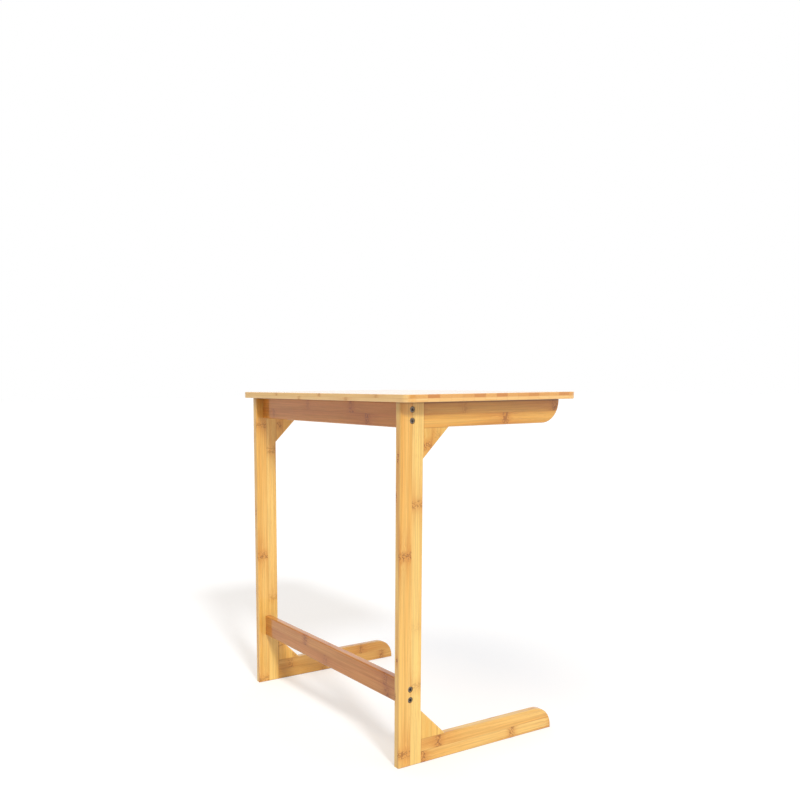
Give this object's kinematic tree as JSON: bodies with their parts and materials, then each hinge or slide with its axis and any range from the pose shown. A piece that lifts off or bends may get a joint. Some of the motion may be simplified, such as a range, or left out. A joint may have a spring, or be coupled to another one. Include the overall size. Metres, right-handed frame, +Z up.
{
  "type": "side table",
  "caption": "C-shaped sofa side table: laminated bamboo top on two open side frames joined by bolted stretchers, with feet that slide under a seat.",
  "frame": {"origin": "on the floor, under the centre of the tabletop (bottom centre of the bounding box)", "axes": "+X along the stretchers and the top's long side, +Y towards the uprights at the closed back, -Y towards the open side that goes over a seat, +Z up"},
  "size_m": [0.6, 0.39, 0.65],
  "materials": {
    "bamboo_top": "satin clear lacquer over flat-pressed bamboo strips",
    "bamboo_rail": "satin clear lacquer over laminated bamboo, honey yellow",
    "beech_dowel": "plain planed dowel, glued",
    "zinc_steel": "zinc plated"
  },
  "bodies": {
    "root": {"left_arm": "bamboo_rail", "left_arm_dowels": "beech_dowel", "left_arm_screws": "zinc_steel", "left_foot": "bamboo_rail", "left_foot_dowels": "beech_dowel", "left_lower_barrel_nuts": "zinc_steel", "left_lower_bolts": "zinc_steel", "left_lower_gusset": "bamboo_rail", "left_lower_gusset_dowels": "beech_dowel", "left_upper_barrel_nuts": "zinc_steel", "left_upper_bolts": "zinc_steel", "left_upper_gusset": "bamboo_rail", "left_upper_gusset_dowels": "beech_dowel", "left_upright": "bamboo_rail", "lower_stretcher": "bamboo_rail", "right_arm": "bamboo_rail", "right_arm_dowels": "beech_dowel", "right_arm_screws": "zinc_steel", "right_foot": "bamboo_rail", "right_foot_dowels": "beech_dowel", "right_lower_barrel_nuts": "zinc_steel", "right_lower_bolts": "zinc_steel", "right_lower_gusset": "bamboo_rail", "right_lower_gusset_dowels": "beech_dowel", "right_upper_barrel_nuts": "zinc_steel", "right_upper_bolts": "zinc_steel", "right_upper_gusset": "bamboo_rail", "right_upper_gusset_dowels": "beech_dowel", "right_upright": "bamboo_rail", "stretcher_screws": "zinc_steel", "tabletop": "bamboo_top", "upper_stretcher": "bamboo_rail"}
  },
  "joints": []
}
